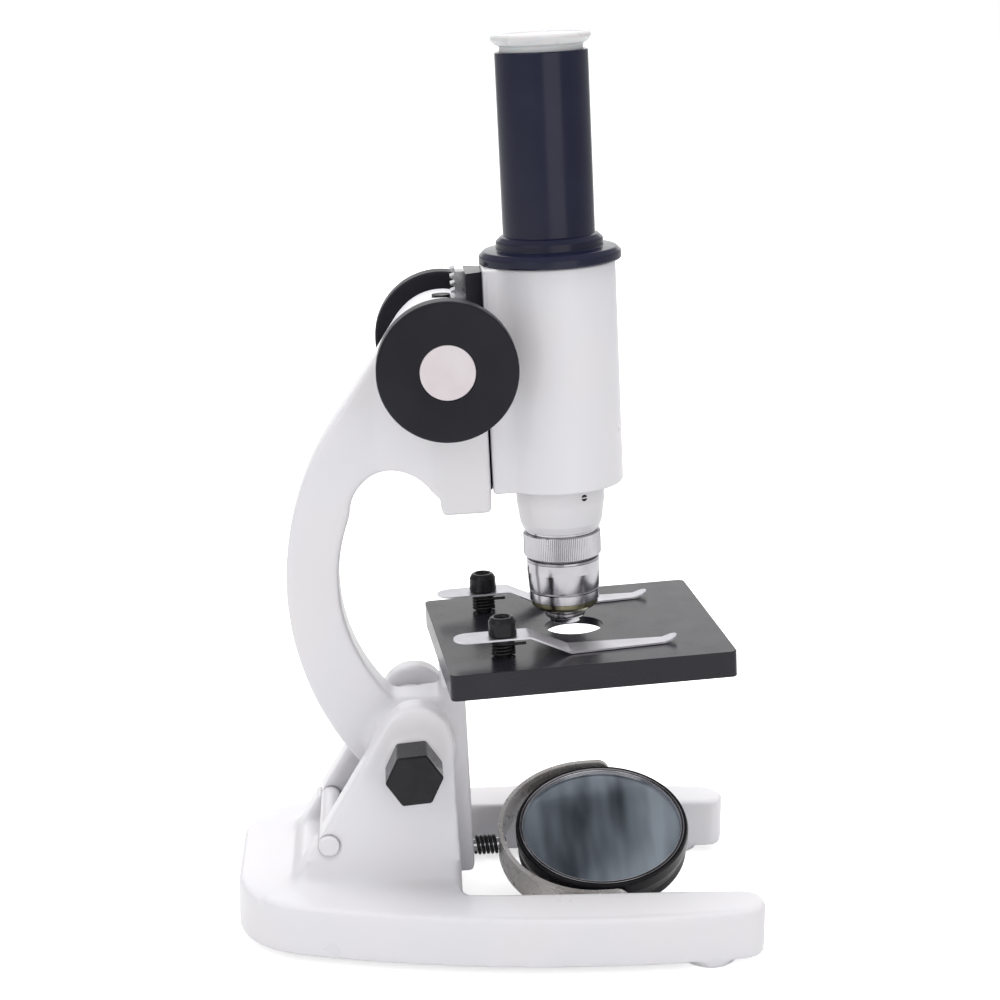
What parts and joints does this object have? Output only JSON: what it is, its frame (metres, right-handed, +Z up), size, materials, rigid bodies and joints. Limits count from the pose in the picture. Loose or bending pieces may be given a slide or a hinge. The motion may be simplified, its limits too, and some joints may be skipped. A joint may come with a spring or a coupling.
{
  "type": "microscope",
  "caption": "Upright student microscope with a horseshoe foot, leaning limb, rack focusing, stage with spring clips and a swivelling two-sided mirror.",
  "frame": {"origin": "middle of the foot's footprint, at table level", "axes": "+X forward from the limb towards the mirror and stage, +Y to the far side, +Z up"},
  "size_m": [0.161, 0.11, 0.2756],
  "materials": {
    "white_enamel": "gloss",
    "black_enamel": "gloss",
    "zinc_steel": "satin",
    "dark_steel": "satin, blackened",
    "clip_steel": "satin",
    "black_plastic": "satin gloss",
    "charcoal_plastic": "matte",
    "pale_plastic": "matte",
    "blue_black_plastic": "satin",
    "milky_plastic": "translucent gloss",
    "fibre": "matte fibre",
    "brass": "machined",
    "nickel": "satin chrome",
    "nickel_strap": "nickel plated, brushed",
    "olive_gold": "lacquered",
    "lens_glass": "coated",
    "mirror_glass": "polished"
  },
  "bodies": {
    "base": {"foot": "white_enamel", "stop_pin": "white_enamel", "inclination_bolt": "zinc_steel", "clamp_knob_near": "black_plastic", "clamp_knob_far": "black_plastic"},
    "arm": {"limb": "white_enamel", "friction_washers": "fibre", "tension_screw": "dark_steel", "pinion_bushes": "brass", "stage": "black_enamel", "stage_screws": "zinc_steel", "clip_posts": "dark_steel", "clip_nuts": "zinc_steel", "clip_caps": "black_plastic", "clip_spring_near": "dark_steel", "clip_spring_far": "dark_steel", "post_spring": "dark_steel"},
    "clip_near": {"clip_blade_near": "clip_steel", "clip_collar_near": "dark_steel"},
    "clip_far": {"clip_blade_far": "clip_steel", "clip_collar_far": "dark_steel"},
    "focus_drive": {"pinion_shaft": "zinc_steel", "focus_knob_near": "charcoal_plastic", "focus_knob_far": "charcoal_plastic", "knob_disc_near": "pale_plastic", "knob_disc_far": "pale_plastic"},
    "tube": {"body_tube": "white_enamel", "slide_bar": "black_enamel", "slide_screws": "dark_steel", "rack": "zinc_steel", "nosepiece": "white_enamel", "nose_screw": "dark_steel", "eyepiece_tube": "blue_black_plastic", "objective_ring": "nickel", "objective_barrel": "nickel", "objective_band": "olive_gold", "front_mount": "nickel", "front_lens": "lens_glass"},
    "eyepiece": {"eyepiece_barrel": "black_plastic", "eye_lens": "lens_glass", "field_lens": "lens_glass"},
    "cap": {"dust_cap": "milky_plastic"},
    "mirror_fork": {"yoke": "nickel_strap", "yoke_pivots": "zinc_steel", "mirror_post": "zinc_steel"},
    "mirror": {"mirror_frame": "black_plastic", "mirror_bezels": "nickel", "plane_mirror": "mirror_glass", "concave_mirror": "mirror_glass"}
  },
  "joints": [
    {"name": "inclination", "type": "hinge", "parent": "base", "child": "arm", "pos_m": [-0.026, 0, 0.0565], "axis": [0, -1, 0], "range_deg": [-3.1, 60]},
    {"name": "focus_slide", "type": "slide", "parent": "arm", "child": "tube", "axis": [-0.0541, 0, 0.9985], "range_m": [-0.001, 0.035]},
    {"name": "focus_knob", "type": "hinge", "parent": "arm", "child": "focus_drive", "pos_m": [-0.01586, 0, 0.17983], "axis": [0, -1, 0], "range_deg": [-20, 580]},
    {"name": "eyepiece_lift", "type": "slide", "parent": "tube", "child": "eyepiece", "axis": [-0.0541, 0, 0.9985], "range_m": [0, 0.04]},
    {"name": "cap_lift", "type": "slide", "parent": "eyepiece", "child": "cap", "axis": [-0.0541, 0, 0.9985], "range_m": [0, 0.02]},
    {"name": "clip_swivel_near", "type": "hinge", "parent": "arm", "child": "clip_near", "pos_m": [0.00105, -0.0258, 0.09462], "axis": [-0.0541, 0, 0.9985], "range_deg": [-60, 22]},
    {"name": "clip_swivel_far", "type": "hinge", "parent": "arm", "child": "clip_far", "pos_m": [-0.00246, 0.02208, 0.09443], "axis": [-0.0541, 0, 0.9985], "range_deg": [-22, 60]},
    {"name": "mirror_roll", "type": "hinge", "parent": "arm", "child": "mirror_fork", "pos_m": [0.00202, 0, 0.01986], "axis": [0.9985, 0, 0.0541], "range_deg": [-44, 3]},
    {"name": "mirror_tilt", "type": "hinge", "parent": "mirror_fork", "child": "mirror", "pos_m": [0.03477, 0, 0.02164], "axis": [-0.0194, 0.9336, 0.3578], "range_deg": [-35, 35]}
  ],
  "couplings": [
    {"joint": "focus_knob", "follows": "focus_slide", "rad_per_m": 285.71}
  ]
}
